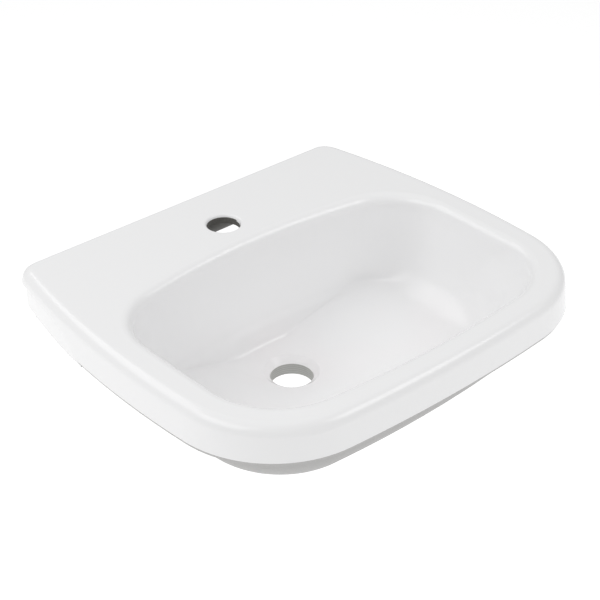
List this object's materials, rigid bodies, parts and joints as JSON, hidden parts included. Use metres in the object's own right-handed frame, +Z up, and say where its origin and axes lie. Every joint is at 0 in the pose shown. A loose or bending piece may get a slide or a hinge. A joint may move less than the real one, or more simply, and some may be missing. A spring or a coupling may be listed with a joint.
{
  "type": "pedestal wash basin",
  "caption": "Small glazed ceramic wash basin with a flat rear deck, a tap hole, a rounded rectangular bowl, a waste outlet and a shallow apron, for a wall or pedestal.",
  "frame": {"origin": "on the wall face of the basin, midway between the two wall-fixing holes", "axes": "+X is the user's right, +Y points into the wall, +Z is up"},
  "size_m": [0.4642, 0.3965, 0.15],
  "materials": {
    "ware": "glossy white glaze over fired vitreous china",
    "bush": "natural nylon, moulded"
  },
  "bodies": {
    "root": {"basin": "ware", "fixing_bushes": "bush"}
  },
  "joints": []
}
